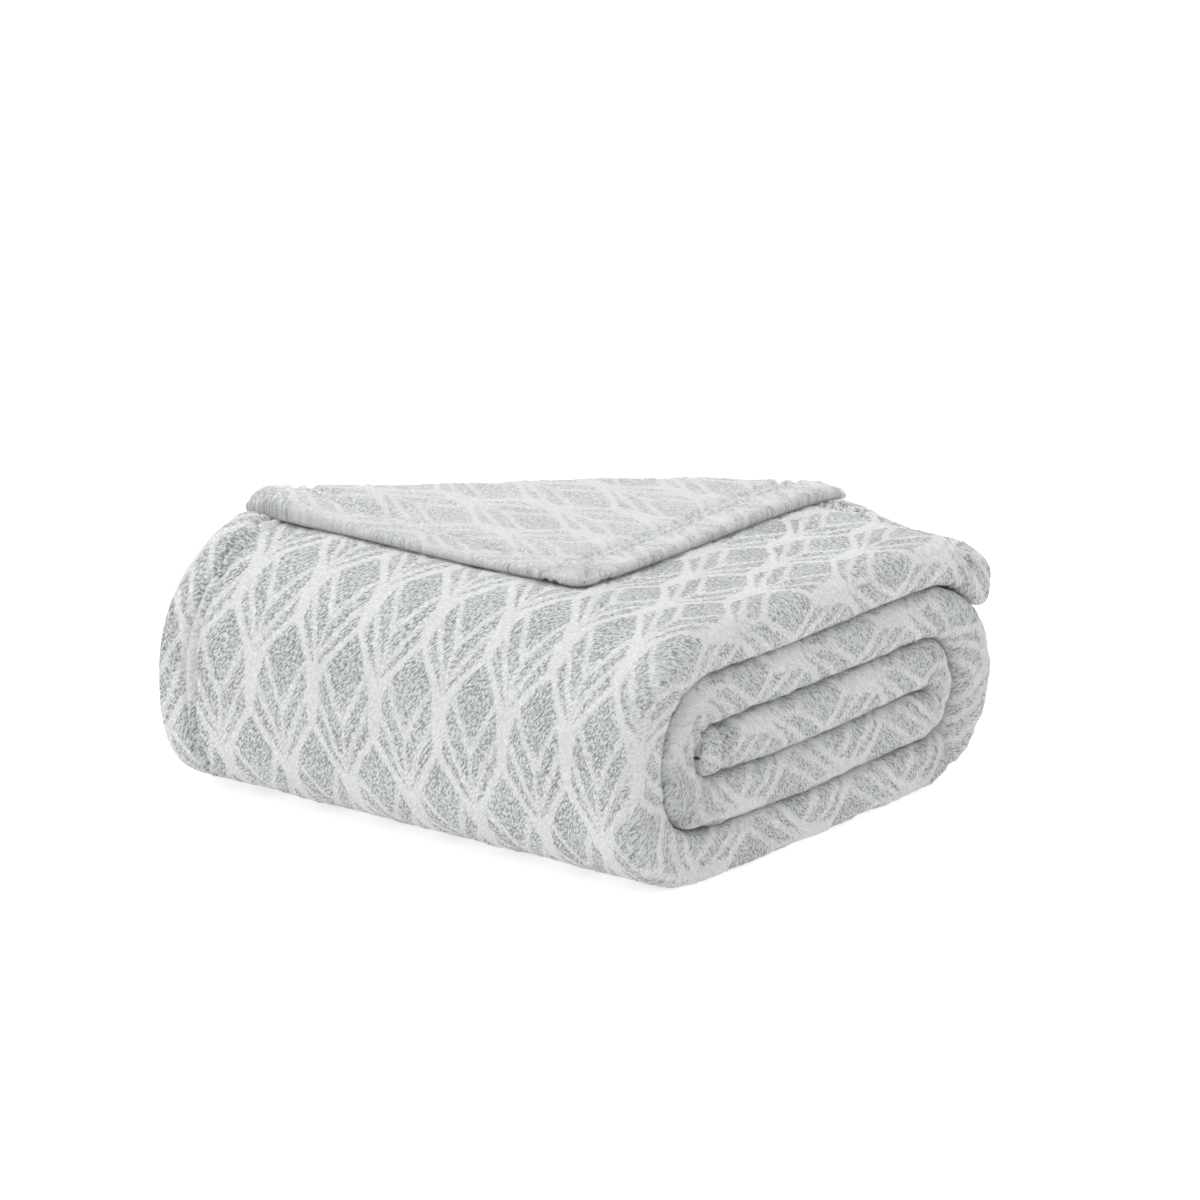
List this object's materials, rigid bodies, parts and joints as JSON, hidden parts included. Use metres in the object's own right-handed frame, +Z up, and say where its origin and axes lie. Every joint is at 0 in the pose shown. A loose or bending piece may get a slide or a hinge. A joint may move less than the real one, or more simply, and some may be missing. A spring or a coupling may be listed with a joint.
{
  "type": "folded throw blanket",
  "caption": "Plush throw folded lengthwise and rolled flat into a stack, with one hemmed corner turned back over the top.",
  "frame": {"origin": "on the ground, under the middle of the folded throw's bounding box", "axes": "+X along the roll, towards the end where the folded layers show as a spiral; +Y from the front turn to the back; +Z up"},
  "size_m": [0.3174, 0.308, 0.144],
  "materials": {
    "cloth": "soft brushed plush, pale grey leaves on off-white",
    "thread": "matt sewing thread"
  },
  "bodies": {
    "roll": {"top_layer": "cloth", "front_turn": "cloth", "bottom_layer": "cloth", "back_turn": "cloth", "upper_inner_layer": "cloth", "inner_front_turn": "cloth", "lower_inner_layer": "cloth", "inner_back_turn": "cloth", "core_layer": "cloth", "corner_fold": "cloth", "side_hem_stitches_1": "thread", "side_hem_stitches_2": "thread", "end_hem_stitches_1": "thread", "end_hem_stitches_2": "thread", "second_ply_stitches_1": "thread", "second_ply_stitches_2": "thread"},
    "corner": {"turned_corner": "cloth", "turned_corner_stitches_1": "thread", "turned_corner_stitches_2": "thread"}
  },
  "joints": [
    {"name": "corner_turn_back", "type": "hinge", "parent": "roll", "child": "corner", "pos_m": [-0.04575, 0.032, 0.13735], "axis": [-0.7071, -0.7071, 0], "range_deg": [0, 179]}
  ]
}
